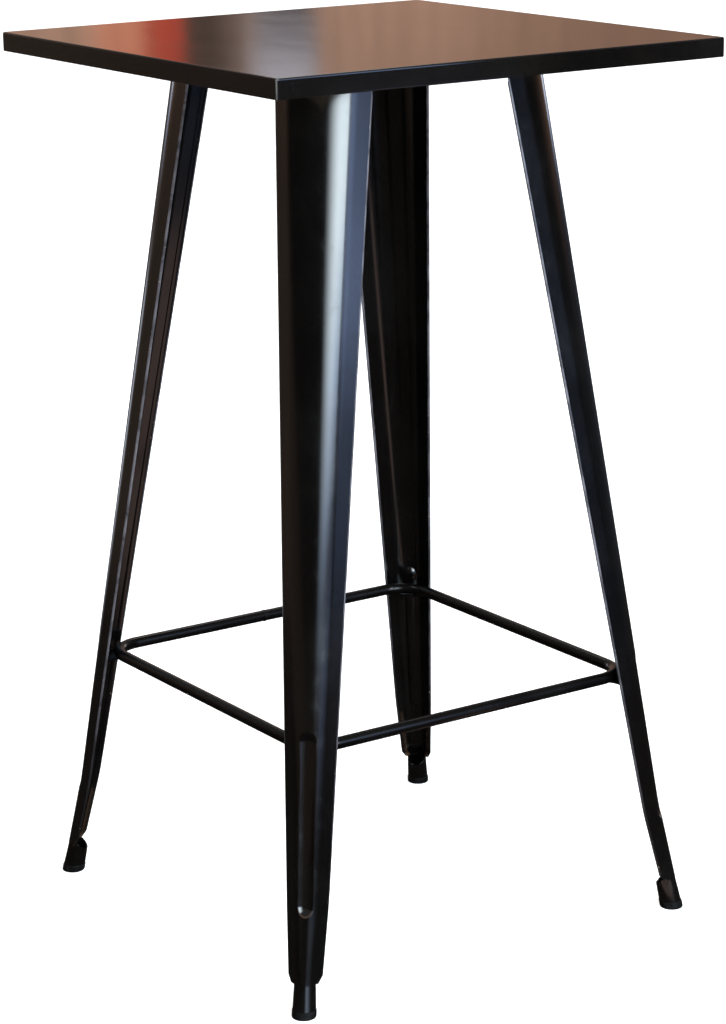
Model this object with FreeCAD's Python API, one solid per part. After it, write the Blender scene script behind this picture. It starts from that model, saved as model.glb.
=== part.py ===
# Square bar-height table pressed from sheet steel, with a round-bar footrest.
#
# Millimetres, +Z up. The origin is on the floor, under the centre of the top.
# The front edge of the top faces -Y. The four legs are one and the same part,
# drawn once with its outer ridge towards +X and then turned about Z into the
# four corners.
#
# The legs are welded to the four rails under the top, the gussets between the
# rails' flanges, and the footrest to a shelf inside each leg. Screws through the
# gussets hold the board, and the board fills the folded top.

import FreeCAD
import Part

import math
import os

from FreeCAD import Vector

# ------------------------------------------------------------------ overall
table_height = 1055.0
top_side = 600.0

# ------------------------------------------------------------------ top
pan_sheet = 1.2
rim_return = 14.0            # flange folded in under the edge of the board
rim_corner_radius = 3.5      # upright corners of the rim
rim_edge_radius = 2.0        # upper edge, all round
board_thickness = 20.0
board_clearance = 0.4        # between the board's edge and the rim

# ------------------------------------------------------------------ legs
# A leg is a folded channel: two flats, parallel to the sides of the table, and a
# rounded ridge between them. "side" is the distance from the table's mid-plane to
# the outer face of a flat, "width" is the flat's full width, measured from the
# sharp corner that the two flats would make without the ridge's radius.
leg_sheet = 1.5
leg_top_clearance = 0.8      # between the leg's upper end and the board
side_top = 168.0
side_kick = 263.4
side_flange_end = 275.2
width_top = 77.6
width_kick = 33.7
width_flange_end = 26.8
ridge_radius_top = 57.0
ridge_radius_kick = 19.9
ridge_radius_flange_end = 13.0
foot_radius_top = 12.4       # the rolled foot flares a little towards its end
foot_radius_end = 13.4
kick_height = 125.0          # the foot sweeps out below this height
flange_end_height = 38.0     # the flats stop here, only the rolled foot goes on
hem_width = 7.0
flange_corner_width = 5.0    # cut off the lower corner of each flat
flange_corner_height = 8.0
foot_relief_low = 30.0       # the rolled foot's open side starts here
foot_relief_run = 10.0       # and rises to the flats over this depth

# groove embossed in the ridge
groove_top = 320.0
groove_bottom = 114.0
groove_radius = 16.0
groove_depth = 4.5

# ------------------------------------------------------------------ rubber glides
glide_sole = 9.0             # rubber under the end of the foot
glide_lip = 0.7              # how far the sole stands out all round
glide_stem_top = 22.0
glide_clearance = 0.05

# ------------------------------------------------------------------ apron
rail_sheet = 2.0
rail_height = 18.0           # low enough to hide behind the rim
rail_flange = 24.0
rail_lip = 12.0
rail_bend_radius = 2.5
rail_end_clearance = 0.3     # to the start of the ridge's curve
gusset_weld_gap = 0.1
gusset_web_clearance = 6.0
gusset_corner_cut = 31.5     # off the outer corner, both ways
gusset_arm = 55.0            # length along the edge of a rail's flange

# ------------------------------------------------------------------ footrest
ring_half = 228.0            # table's mid-plane to the bar's centre line
ring_height = 297.0
ring_bar = 14.0
ring_bend = 40.0
shelf_sheet = 3.0
shelf_nose_radius = 12.0
shelf_clearance = 0.5        # to the hems and to the ridge of the leg

# ------------------------------------------------------------------ board screws
thread_clearance = 0.1
screw_diameter = 5.0
screw_hole = 5.6
screw_head_across_flats = 8.0
screw_head_height = 3.5
screw_in_board = 14.0
screw_side = 127.0           # mid-planes to a board screw, both ways

# ------------------------------------------------------------------ derived places
root_half = math.sqrt(0.5)
up = Vector(0, 0, 1)
origin = Vector(0, 0, 0)
board_top = table_height - pan_sheet
board_underside = board_top - board_thickness
rim_underside = board_underside - pan_sheet
leg_top = board_underside - leg_top_clearance
hem_top = board_underside - rail_height - hem_width
ring_corner = (ring_half - ring_bend) / root_half + ring_bend
shelf_top = ring_height - ring_bar / 2
shelf_underside = shelf_top - shelf_sheet

# tools run past what they trim by the overrun, and reach across the whole table
overrun = 20.0
reach = 2 * top_side
# seams of a folded sheet that lie closer than this are one seam
seam_tolerance = 0.02

corner_names = ["back_right", "back_left", "front_left", "front_right"]
side_names = ["front", "right", "back", "left"]

nodes = {}


# ================================================================== shared tools
def plate(points, thickness):
    """Extrude a polygon by a vector."""
    return Part.Face(Part.makePolygon(points + points[:1])).extrude(thickness)


def hexagon(radius):
    """Corners of a level hexagon round the origin."""
    turns = [step * math.pi / 3 for step in range(6)]
    return [Vector(radius * math.cos(a), radius * math.sin(a), 0) for a in turns]


def between_heights(shape, low, high):
    """Trim a shape with two level planes."""
    box = Part.makeBox(reach, reach, high - low, Vector(0, -reach / 2, low))
    return shape.common(box)


def turned(shape, corner):
    """Copy of a leg-frame shape, turned into one of the four corners."""
    copy = shape.copy()
    copy.rotate(origin, up, 45 + 90 * corner)
    return copy


def quarter_turns(shape):
    """Four copies of a shape of the front side, one for each side."""
    copies = []
    for side in range(4):
        copy = shape.copy()
        copy.rotate(origin, up, 90 * side)
        copies.append(copy)
    return copies


def placed(shape, point, forward, axis):
    """Move a shape drawn along +Z, facing +X, to a point and two directions."""
    turn = FreeCAD.Rotation(forward, axis.cross(forward), axis, "ZXY")
    shape.Placement = FreeCAD.Placement(point, turn).multiply(shape.Placement)
    return shape


# ================================================================== folded leg
class Level:
    """Sizes of the folded channel at one height."""

    def __init__(self, z, side, radius, width):
        self.z = z
        self.side = side
        self.radius = radius
        self.width = width


class Fold:
    """Straight stretch of the channel: two flats and a cone that joins them."""

    def __init__(self, low, high):
        self.low = low
        self.high = high
        rise = high.z - low.z
        corner_run = (high.side - low.side) / root_half
        ridge_run = corner_run - (math.sqrt(2) - 1) * (high.radius - low.radius)
        self.corner_line = Vector(corner_run, 0, rise).normalize()
        self.ridge_line = Vector(ridge_run, 0, rise).normalize()

        # the cone that touches both flats: its tip is where the ridge has no radius
        tip_height = low.z - low.radius * rise / (high.radius - low.radius)
        self.tip = self.corner(tip_height)
        inward = Vector(-self.ridge_line.z, 0, self.ridge_line.x)
        normal = self.normal(1)
        self.half_angle = math.atan(-normal.dot(self.ridge_line) / (1 + normal.dot(inward)))
        sine, cosine = math.sin(self.half_angle), math.cos(self.half_angle)
        self.axis = self.ridge_line * cosine + inward * sine

    def value(self, name, z):
        """Size at any height, on the straight line through the two levels."""
        share = (z - self.low.z) / (self.high.z - self.low.z)
        low, high = getattr(self.low, name), getattr(self.high, name)
        return low + (high - low) * share

    def corner(self, z):
        """Where the outer faces of the two flats would meet."""
        return Vector(self.value("side", z) / root_half, 0, z)

    def along(self, side):
        """Level direction in a flat, from the ridge to the free edge."""
        return Vector(-root_half, side * root_half, 0)

    def normal(self, side):
        """Outward normal of a flat."""
        return (self.along(side).cross(self.corner_line) * side).normalize()

    def bend(self, z, side):
        """Point of the line where a flat runs into the cone."""
        line = self.axis + self.normal(side) * math.sin(self.half_angle)
        return self.tip + line * ((z - self.tip.z) / line.z)

    def edge(self, z, side, inset=0.0):
        """Point of a flat's outer face, at a distance from its free edge."""
        return self.corner(z) + self.along(side) * (self.value("width", z) - inset)

    def ridge(self, depth):
        """Wedge of the cone between the two flats, down to its axis."""
        start = (self.low.z - self.tip.z) / self.axis.z - overrun
        end = (self.high.z - self.tip.z) / self.axis.z + overrun
        slope = math.tan(self.half_angle)
        step = depth / math.cos(self.half_angle)
        outward = (self.ridge_line - self.axis * self.ridge_line.dot(self.axis)).normalize()
        touch = self.normal(1) + self.axis * math.sin(self.half_angle)
        half_turn = math.degrees(outward.getAngle(touch))
        radii = (start * slope - step, end * slope - step)
        cone = Part.makeCone(radii[0], radii[1], end - start, origin, up, 2 * half_turn)
        cone.rotate(origin, up, -half_turn)
        return placed(cone, self.tip + self.axis * start, outward, self.axis)

    def strip(self, side, near, far, depth):
        """Strip of sheet in a flat, between two lines, at a depth in the sheet."""
        low, high = self.low.z - overrun, self.high.z + overrun
        normal = self.normal(side)
        outline = [near(low, side), far(low, side), far(high, side), near(high, side)]
        outline = [point - normal * depth for point in outline]
        return plate(outline, normal * -leg_sheet)

    def sheet(self):
        """The folded sheet itself."""
        shell = self.ridge(0.0).cut(self.ridge(leg_sheet))
        flats = [self.strip(side, self.bend, self.edge, 0.0) for side in (-1, 1)]
        return shell.fuse(flats)

    def hem(self, side):
        """Edge of a flat turned back inside, with a half-round nose."""
        def hem_end(z, side):
            return self.edge(z, side, hem_width)

        turned_back = self.strip(side, hem_end, self.edge, leg_sheet)
        normal = self.normal(side)
        start = self.edge(self.low.z - overrun, side) - normal * leg_sheet
        end = self.edge(self.high.z + overrun, side) - normal * leg_sheet
        axis = (end - start).normalize()
        nose = Part.makeCylinder(leg_sheet, start.distanceToPoint(end), origin, up, 180)
        nose.rotate(origin, up, -90)
        return turned_back.fuse(placed(nose, start, axis.cross(normal) * side, axis))


top_level = Level(leg_top, side_top, ridge_radius_top, width_top)
kick_level = Level(kick_height, side_kick, ridge_radius_kick, width_kick)
flange_level = Level(flange_end_height, side_flange_end,
                     ridge_radius_flange_end, width_flange_end)
upper_fold = Fold(kick_level, top_level)
lower_fold = Fold(flange_level, kick_level)


def ridge_point(fold, level):
    """Point on the outside of the ridge, at one end of a fold."""
    return fold.corner(level.z) - Vector((math.sqrt(2) - 1) * level.radius, 0, 0)


def foot_centre(z):
    """Point of the rolled foot's axis."""
    lean = lower_fold.ridge_line
    outward = Vector(lean.z, 0, -lean.x)
    centre = ridge_point(lower_fold, flange_level) - outward * ridge_radius_flange_end
    return centre + lean * ((z - centre.z) / lean.z)


def foot_round(low, high, low_radius, high_radius):
    """Round column that leans with the foot, cut level at both ends."""
    lean = lower_fold.ridge_line
    start = foot_centre(low - overrun)
    length = (high - low + 2 * overrun) / lean.z
    flare = (low_radius - high_radius) * overrun / (high - low)
    if flare:
        column = Part.makeCone(low_radius + flare, high_radius - flare, length, start, lean)
    else:
        column = Part.makeCylinder(low_radius, length, start, lean)
    return between_heights(column, low, high)


def groove_tool(radius):
    """Round-ended bar laid along the outside of the ridge."""
    lean = upper_fold.ridge_line
    outward = Vector(lean.z, 0, -lean.x)
    ridge_kick = ridge_point(upper_fold, kick_level)
    half_chord = math.sqrt(groove_radius ** 2 - (groove_radius - groove_depth) ** 2)
    ends = []
    for z in (groove_bottom + half_chord, groove_top - half_chord):
        on_ridge = ridge_kick + lean * ((z - kick_height) / lean.z)
        ends.append(on_ridge + outward * (groove_radius - groove_depth))
    bar = Part.makeCylinder(radius, ends[0].distanceToPoint(ends[1]), ends[0], lean)
    return bar.fuse([Part.makeSphere(radius, end) for end in ends]).removeSplitter()


def make_channel():
    """Two folded stretches that meet where the foot kicks out, with hemmed edges."""
    stretches = []
    for fold, hem_end in ((upper_fold, hem_top), (lower_fold, kick_height)):
        low, high = fold.low.z, fold.high.z
        hems = [between_heights(fold.hem(side), low, hem_end) for side in (-1, 1)]
        stretches.append(between_heights(fold.sheet(), low, high).fuse(hems))
    return stretches[0].fuse(stretches[1], seam_tolerance).removeSplitter()


def emboss_groove(channel):
    """Press the groove into the ridge, with the sheet's thickness kept."""
    bulge = groove_tool(groove_radius + leg_sheet)
    above = between_heights(upper_fold.ridge(0.0), kick_height, leg_top)
    below = between_heights(lower_fold.ridge(0.0), flange_end_height, kick_height)
    pressed = channel.fuse([bulge.common(above), bulge.common(below)], seam_tolerance)
    return pressed.cut(groove_tool(groove_radius)).removeSplitter()


def cut_flange_corners(channel):
    """Bevel the lower corner of each flat."""
    free_edge = lower_fold.edge(flange_end_height, 1).y + leg_sheet
    for side in (-1, 1):
        inner = Vector(0, side * (free_edge - flange_corner_width), flange_end_height)
        outer = Vector(0, side * free_edge, flange_end_height + flange_corner_height)
        past_inner = inner * 2 - outer
        past_outer = outer * 2 - inner
        past_corner = Vector(0, past_outer.y, past_inner.z)
        bevel = plate([past_inner, past_outer, past_corner], Vector(reach, 0, 0))
        channel = channel.cut(bevel)
    return channel


def make_foot():
    """Lower end of the ridge rolled into a tube, relieved on its open side."""
    skins = []
    for depth in (0.0, leg_sheet):
        radii = (foot_radius_end - depth, foot_radius_top - depth)
        skins.append(foot_round(glide_sole, flange_end_height, *radii))
    tube = skins[0].cut(skins[1])
    open_side = ridge_point(lower_fold, flange_level).x - 2 * foot_radius_top
    rise = flange_end_height - foot_relief_low
    relief = plate([
        Vector(open_side - foot_relief_run, -reach, foot_relief_low - rise),
        Vector(open_side + foot_relief_run, -reach, flange_end_height),
        Vector(open_side - foot_relief_run, -reach, flange_end_height),
    ], Vector(0, 2 * reach, 0))
    return tube.cut(relief)


def make_leg():
    channel = cut_flange_corners(emboss_groove(make_channel()))
    return channel.fuse(make_foot()).removeSplitter()


def make_glide():
    """Rubber plug: a sole under the foot and a six-sided stem that grips inside it."""
    sole_radius = foot_radius_end + glide_lip
    stem_radius = foot_radius_top - leg_sheet - glide_clearance
    lean = lower_fold.ridge_line
    start = foot_centre(glide_sole)
    rise = lean * ((glide_stem_top - glide_sole) / lean.z)
    outline = [start + corner for corner in hexagon(stem_radius)]
    sole = foot_round(0.0, glide_sole, sole_radius, sole_radius)
    return sole.fuse(plate(outline, rise))


# ================================================================== top
def upright_edges(shape):
    return [e for e in shape.Edges if abs(e.Vertexes[0].Z - e.Vertexes[1].Z) > pan_sheet]


def square_block(side, low, high):
    return Part.makeBox(side, side, high - low, Vector(-side / 2, -side / 2, low))


def make_pan():
    """Sheet folded down at the rim and in again under the board."""
    body = square_block(top_side, rim_underside, table_height)
    body = body.makeFillet(rim_corner_radius, upright_edges(body))
    upper = [e for e in body.Edges if min(v.Z for v in e.Vertexes) > board_top]
    body = body.makeFillet(rim_edge_radius, upper)
    cavity = square_block(top_side - 2 * pan_sheet, board_underside, board_top)
    cavity = cavity.makeFillet(rim_corner_radius - pan_sheet, upright_edges(cavity))
    mouth = square_block(top_side - 2 * rim_return, rim_underside, board_underside)
    return body.cut([cavity, mouth])


def make_board():
    side = top_side - 2 * pan_sheet - 2 * board_clearance
    board = square_block(side, board_underside, board_top)
    board = board.makeFillet(rim_corner_radius - pan_sheet, upright_edges(board))
    entry = Vector(screw_side, screw_side, board_underside)
    pilot_radius = (screw_diameter + thread_clearance) / 2
    pilot = Part.makeCylinder(pilot_radius, screw_in_board + thread_clearance, entry)
    return board.cut(quarter_turns(pilot))


# ================================================================== apron
def web_face(z):
    """Mid-plane to the outer face of a rail's web, which lies on the legs' flats."""
    tilt_cosine = math.hypot(upper_fold.normal(1).x, upper_fold.normal(1).y)
    return upper_fold.value("side", z) - leg_sheet / tilt_cosine


def rail_half_length():
    bend = upper_fold.bend(leg_top, 1)
    return (bend.x - bend.y) * root_half - rail_end_clearance


def make_front_rail():
    """C-section whose web lies flat against the legs' flats, from leg to leg."""
    low = board_underside - rail_height
    upper_inside = board_underside - rail_sheet
    lower_inside = low + rail_sheet
    profile = [
        (-web_face(board_underside), board_underside),
        (-web_face(low), low),
        (-web_face(low) + rail_lip, low),
        (-web_face(low) + rail_lip, lower_inside),
        (-web_face(lower_inside) + rail_sheet, lower_inside),
        (-web_face(upper_inside) + rail_sheet, upper_inside),
        (-web_face(board_underside) + rail_flange, upper_inside),
        (-web_face(board_underside) + rail_flange, board_underside),
    ]
    half = rail_half_length()
    rail = plate([Vector(-half, y, z) for y, z in profile], Vector(2 * half, 0, 0))

    bends = [(0, rail_bend_radius), (1, rail_bend_radius)]
    bends += [(4, rail_bend_radius - rail_sheet), (5, rail_bend_radius - rail_sheet)]
    for corner, radius in bends:
        middle = Part.Vertex(0, *profile[corner])
        along = [e for e in rail.Edges if e.distToShape(middle)[0] < seam_tolerance]
        rail = rail.makeFillet(radius, along)
    return rail


def make_gusset():
    """Plate welded into the corner between the upper flanges of two rails."""
    low = board_underside - rail_sheet
    flange_edge = web_face(board_underside) - rail_flange - gusset_weld_gap
    rail_end = rail_half_length() + gusset_weld_gap
    outer = web_face(board_underside) - gusset_web_clearance
    nose = outer - gusset_corner_cut
    arm = flange_edge - gusset_arm
    outline = [
        Vector(rail_end, outer, low),
        Vector(nose, outer, low),
        Vector(outer, nose, low),
        Vector(outer, rail_end, low),
        Vector(flange_edge, rail_end, low),
        Vector(flange_edge, arm, low),
        Vector(arm, flange_edge, low),
        Vector(rail_end, flange_edge, low),
    ]
    hole = Part.makeCylinder(screw_hole / 2, rail_sheet, Vector(screw_side, screw_side, low))
    return plate(outline, up * rail_sheet).cut(hole)


# ================================================================== footrest
def make_ring():
    """Closed square of round bar with bent corners."""
    straight = ring_half - ring_bend
    start = Vector(-straight, -ring_half, ring_height)
    bar = Part.makeCylinder(ring_bar / 2, 2 * straight, start, Vector(1, 0, 0))
    centre = Vector(straight, -straight, ring_height)
    bend = Part.makeTorus(ring_bend, ring_bar / 2, centre, up, 0, 360, 90)
    bend.rotate(centre, up, -90)
    pieces = quarter_turns(bar) + quarter_turns(bend)
    return pieces[0].fuse(pieces[1:]).removeSplitter()


def make_shelf(leg):
    """Plate welded between a leg's flats, with a round nose under the footrest."""
    low = Vector(ring_corner, 0, shelf_underside)
    nose = Part.makeCylinder(shelf_nose_radius, shelf_sheet, low)
    hem_back = upper_fold.edge(shelf_top, 1, hem_width + shelf_clearance)
    hem_back = hem_back - upper_fold.normal(1) * 2 * leg_sheet
    bend = upper_fold.bend(shelf_underside, 1)
    half = [(ring_corner, shelf_nose_radius), (hem_back.x, hem_back.y)]
    half += [(hem_back.x, bend.y + overrun), (bend.x - 2 * leg_sheet, bend.y + overrun)]
    outline = half + [(u, -v) for u, v in reversed(half)]
    body = plate([Vector(u, v, shelf_underside) for u, v in outline], up * shelf_sheet)
    pieces = body.fuse(nose).removeSplitter().cut(leg).Solids
    return min(pieces, key=lambda piece: piece.CenterOfMass.x)


def make_screw():
    """Hexagon-head wood screw: its seat at z=0, head down, shank up."""
    corner_radius = screw_head_across_flats / 2 / math.cos(math.pi / 6)
    head = plate(hexagon(corner_radius), up * -screw_head_height)
    shank = Part.makeCylinder(screw_diameter / 2, rail_sheet + screw_in_board)
    return head.fuse(shank).removeSplitter()


# ================================================================== assembly
nodes["tabletop_pan"] = make_pan()
nodes["core_board"] = make_board()

for name, shape in zip(side_names, quarter_turns(make_front_rail())):
    nodes["apron_rail_" + name] = shape

for name, shape in zip(corner_names, quarter_turns(make_gusset())):
    nodes["corner_gusset_" + name] = shape

leg = make_leg()
shelf = make_shelf(leg)
glide = make_glide()
for corner, name in enumerate(corner_names):
    nodes["leg_" + name] = turned(leg, corner)
    nodes["footrest_shelf_" + name] = turned(shelf, corner)
    nodes["foot_glide_" + name] = turned(glide, corner)

nodes["footrest_ring"] = make_ring()

# screws into the board, from below and through the gussets
screw = make_screw()
screw.translate(Vector(screw_side, screw_side, board_underside - rail_sheet))
nodes["board_screws"] = Part.makeCompound(quarter_turns(screw))

os.makedirs("parts", exist_ok=True)
for name, shape in nodes.items():
    shape.exportStep("parts/" + name + ".step")
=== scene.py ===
import math

import bmesh
import bpy
from mathutils import Matrix, Quaternion, Vector


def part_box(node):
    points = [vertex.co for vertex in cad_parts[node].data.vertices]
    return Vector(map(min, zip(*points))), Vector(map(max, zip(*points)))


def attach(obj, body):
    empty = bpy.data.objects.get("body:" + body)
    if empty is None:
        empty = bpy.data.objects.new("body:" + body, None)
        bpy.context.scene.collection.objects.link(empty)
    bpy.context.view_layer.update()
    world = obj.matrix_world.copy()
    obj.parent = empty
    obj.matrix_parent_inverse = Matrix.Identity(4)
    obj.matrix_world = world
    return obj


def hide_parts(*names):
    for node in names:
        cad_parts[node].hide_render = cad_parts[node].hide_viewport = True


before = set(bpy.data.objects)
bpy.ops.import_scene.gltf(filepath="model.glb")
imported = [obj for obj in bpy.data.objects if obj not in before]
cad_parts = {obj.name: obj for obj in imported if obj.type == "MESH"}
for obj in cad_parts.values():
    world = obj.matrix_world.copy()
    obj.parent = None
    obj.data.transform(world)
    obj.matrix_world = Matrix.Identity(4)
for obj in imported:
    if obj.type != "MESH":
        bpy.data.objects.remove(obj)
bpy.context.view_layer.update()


# ---------------------------------------------------------------- apron under the top
# Four C-section rails and four flat gussets, cut and folded from 2 mm sheet steel,
# welded into one frame and powder-coated black with the legs.

class Wire:
    """A shader socket that Python's arithmetic can be used on."""

    def __init__(self, tree, socket):
        self.tree = tree
        self.socket = socket

    def maths(self, operation, *values):
        """A Math node on this socket and other sockets or numbers."""
        return self.tree.node("ShaderNodeMath", {"operation": operation}, list(values))

    def __add__(self, other):
        return self.maths("ADD", self, other)

    def __radd__(self, other):
        return self.maths("ADD", other, self)

    def __sub__(self, other):
        return self.maths("SUBTRACT", self, other)

    def __rsub__(self, other):
        return self.maths("SUBTRACT", other, self)

    def __mul__(self, other):
        return self.maths("MULTIPLY", self, other)

    def __rmul__(self, other):
        return self.maths("MULTIPLY", other, self)

    def __truediv__(self, other):
        return self.maths("DIVIDE", self, other)

    def __lt__(self, other):
        return self.maths("LESS_THAN", self, other)

    def __abs__(self):
        return self.maths("ABSOLUTE", self)

    def between(self, low, high):
        """0 below low, 1 above high, smooth between."""
        return self.tree.node(
            "ShaderNodeMapRange", {"interpolation_type": "SMOOTHSTEP"},
            {"Value": self, "From Min": low, "From Max": high})


class Nodes:
    """A node tree, with one method that makes any node."""

    def node(self, kind, settings, values, output=0):
        """A node of a kind, with its settings and its sockets' values or links."""
        made = self.tree.nodes.new(kind)
        for name, value in settings.items():
            setattr(made, name, value)
        pairs = values.items() if isinstance(values, dict) else enumerate(values)
        for key, value in pairs:
            if isinstance(value, Wire):
                self.tree.links.new(value.socket, made.inputs[key])
            else:
                made.inputs[key].default_value = value
        return Wire(self, made.outputs[output]) if len(made.outputs) else None


class Finish(Nodes):
    """The tree of a material, or of the world."""

    def __init__(self, name, world=None):
        self.owner = world or bpy.data.materials.new(name)
        self.owner.use_nodes = True
        self.tree = self.owner.node_tree
        self.tree.nodes.clear()

    def place(self, kind="Object"):
        """Where a point of the surface is, in the coordinates of a kind."""
        return self.node("ShaderNodeTexCoord", {}, {}, kind)

    def attribute(self, name):
        """A number that the mesh holds at each vertex."""
        return self.node("ShaderNodeAttribute", {"attribute_name": name}, {}, "Fac")

    def noise(self, size, detail=3.0, roughness=0.5, stretch=(1, 1, 1), at=None):
        """Noise with spots of about the given size in metres."""
        scaled = self.node(
            "ShaderNodeMapping", {},
            {"Vector": at or self.place(), "Scale": [part / size for part in stretch]})
        return self.node(
            "ShaderNodeTexNoise", {},
            {"Vector": scaled, "Scale": 1.0, "Detail": detail, "Roughness": roughness})

    def mix(self, share, first, second):
        """Colour between two colours."""
        return self.node(
            "ShaderNodeMix", {"data_type": "RGBA"}, {0: share, 6: first, 7: second}, 2)

    def bump(self, height, depth, under=None):
        """Relief of a depth in metres, over another relief if there is one."""
        values = {"Height": height, "Distance": depth, "Strength": 1.0}
        if under:
            values["Normal"] = under
        return self.node("ShaderNodeBump", {}, values)

    def surface(self, values):
        """End the tree in a Principled shader and give the material."""
        shader = self.node("ShaderNodeBsdfPrincipled", {}, values)
        self.node("ShaderNodeOutputMaterial", {}, {"Surface": shader})
        return self.owner


class Recipe(Nodes):
    """A Geometry Nodes tree that turns a sketch into a finished piece."""

    def __init__(self, name, inputs):
        self.tree = bpy.data.node_groups.new(name, "GeometryNodeTree")
        sockets = self.tree.interface
        sockets.new_socket("Sketch", in_out="INPUT", socket_type="NodeSocketGeometry")
        self.keys = {}
        for label, kind in inputs.items():
            made = sockets.new_socket(label, in_out="INPUT", socket_type="NodeSocket" + kind)
            self.keys[label] = made.identifier
        sockets.new_socket("Piece", in_out="OUTPUT", socket_type="NodeSocketGeometry")
        self.entry = self.tree.nodes.new("NodeGroupInput")

    def given(self, label):
        """An input of the tree."""
        return Wire(self, self.entry.outputs[label])

    def deliver(self, geometry):
        """End the tree in real, painted geometry."""
        real = self.node("GeometryNodeRealizeInstances", {}, {"Geometry": geometry})
        painted = self.node(
            "GeometryNodeSetMaterial", {},
            {"Geometry": real, "Material": self.given("Material")})
        self.node("NodeGroupOutput", {}, {"Piece": painted})

    def build(self, name, sketch, values, slot, node=None):
        """Run the tree on a sketch mesh and keep the result as a plain mesh."""
        piece = bpy.data.objects.new(name, sketch)
        bpy.context.scene.collection.objects.link(piece)
        maker = piece.modifiers.new(name, "NODES")
        maker.node_group = self.tree
        for label, value in values.items():
            maker[self.keys[label]] = value
        shown = piece.evaluated_get(bpy.context.evaluated_depsgraph_get())
        made = bpy.data.meshes.new_from_object(shown)
        piece.modifiers.clear()
        piece.data = made
        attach(piece, "root")
        if node:
            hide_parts(node)


def black_paint(name, roughness, peel, grime, sheen=0.5):
    """Black powder coat: orange peel, dust, haze from hands, worn edges, and a painted
    highlight along the hem folds.
    """
    paint = Finish(name)
    black = (0.0010, 0.0009, 0.0009, 1)
    dusty = (0.007, 0.0063, 0.0056, 1)
    # rubbed grey, a little blue: rubbed paint that also serves as a painted highlight along
    # the hem folds
    rubbed_highlight_grey = (0.13, 0.12, 0.135, 1)
    rubbed_brown = (0.13, 0.070, 0.038, 1)
    bare_steel = (0.46, 0.36, 0.28, 1)
    coat_roughness = 0.11
    wave_size, wave_depth = 0.045, peel * 11
    peel_size = 0.0016

    # haze and smudges from hands, and specks of dust
    haze = paint.noise(0.11, 4.0, 0.62).between(0.42, 0.74)
    smudges = paint.noise(0.020, 4.0, 0.7).between(0.54, 0.72)
    specks = paint.noise(0.0035, 2.0, 0.7).between(0.70, 0.78)

    # edges are rubbed grey in places, which paints a highlight along the hem folds; the
    # groove's lip is brown, and chips show the steel
    wear_and_highlight = paint.attribute("wear_and_highlight")
    patches = paint.noise(0.035, 3.0).between(0.35, 0.65)
    # the painted highlight along the hem folds, in patches
    rubbed_highlight = wear_and_highlight.between(0.86, 1.0) * (0.35 + patches * 0.65)
    chips = (paint.noise(0.006, 4.0, 0.65) + wear_and_highlight * 0.10).between(0.76, 0.78) * wear_and_highlight

    tone = paint.mix(haze * grime, black, dusty)
    tone = paint.mix(specks * grime * 0.5, tone, dusty)
    tone = paint.mix(rubbed_highlight, tone, rubbed_highlight_grey)
    tone = paint.mix(paint.attribute("lip") * 0.4, tone, rubbed_brown)
    tone = paint.mix(chips, tone, bare_steel)
    roughness = roughness + haze * 0.06 + smudges * 0.07 + specks * 0.15 * grime
    roughness = roughness + chips * 0.15 + rubbed_highlight * 0.2
    wave = paint.bump(paint.noise(wave_size, 2.0, 0.5), wave_depth)
    skin = paint.bump(paint.noise(peel_size, 2.0, 0.5), peel, wave)
    return paint.surface({
        "Base Color": tone, "Roughness": roughness, "Metallic": chips * 0.9,
        "Coat Weight": sheen * 0.9, "Coat Roughness": coat_roughness,
        "Normal": skin, "IOR": 1.5, "Specular IOR Level": sheen})


frame_paint = black_paint("black_frame_enamel", roughness=0.30, peel=0.00002, grime=0.5)

apron_sides = ("front", "right", "back", "left")
corners = ("back_right", "back_left", "front_left", "front_right")
for side in apron_sides:
    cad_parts["apron_rail_" + side].data.materials[0] = frame_paint
for corner in corners:
    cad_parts["corner_gusset_" + corner].data.materials[0] = frame_paint


# ---------------------------------------------------------------- apron weld beads
# Short electric-weld beads, laid by hand and painted over: two on each gusset, along
# the rails' flanges, and one down each edge of a leg, where it lies on a rail.

def weld_bead():
    """Overlapping flat drops along a path, a little uneven in width."""
    narrowest, widest, seed = 0.82, 1.15, 4
    overlap = 1.1
    weld = Recipe("weld_bead", {"Drop": "Float", "Step": "Float", "Material": "Material"})
    drop, step = weld.given("Drop"), weld.given("Step")
    path = weld.node("GeometryNodeMeshToCurve", {}, {"Mesh": weld.given("Sketch")})
    drops = weld.node(
        "GeometryNodeResampleCurve", {"mode": "LENGTH"}, {"Curve": path, "Length": step})
    along = weld.node("GeometryNodeInputTangent", {}, {})
    turn = weld.node("FunctionNodeAlignRotationToVector", {"axis": "Z"}, {"Vector": along})
    uneven = weld.node(
        "FunctionNodeRandomValue", {"data_type": "FLOAT"},
        {2: narrowest, 3: widest, "Seed": seed}, 1)
    size = weld.node(
        "ShaderNodeCombineXYZ", {},
        {"X": drop * uneven, "Y": drop * uneven, "Z": step * overlap})
    ball = weld.node(
        "GeometryNodeMeshUVSphere", {}, {"Segments": 10, "Rings": 6, "Radius": 1.0})
    smooth = weld.node(
        "GeometryNodeSetShadeSmooth", {}, {"Geometry": ball, "Shade Smooth": True})
    bead = weld.node("GeometryNodeInstanceOnPoints", {}, {
        "Points": drops, "Instance": smooth, "Rotation": turn, "Scale": size})
    weld.deliver(bead)
    return weld


def sketch(name, paths):
    """Mesh of open polylines."""
    points, edges = [], []
    for path in paths:
        first = len(points)
        points += path
        edges += [(index, index + 1) for index in range(first, len(points) - 1)]
    mesh = bpy.data.meshes.new(name)
    mesh.from_pydata(points, edges, [])
    return mesh


def four_corners(paths, first_turn):
    """Paths of one corner, repeated round the table."""
    turned = []
    for index in range(4):
        turn = Matrix.Rotation(math.radians(first_turn + 90 * index), 3, "Z")
        turned += [[turn @ Vector(point) for point in path] for path in paths]
    return turned


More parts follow.
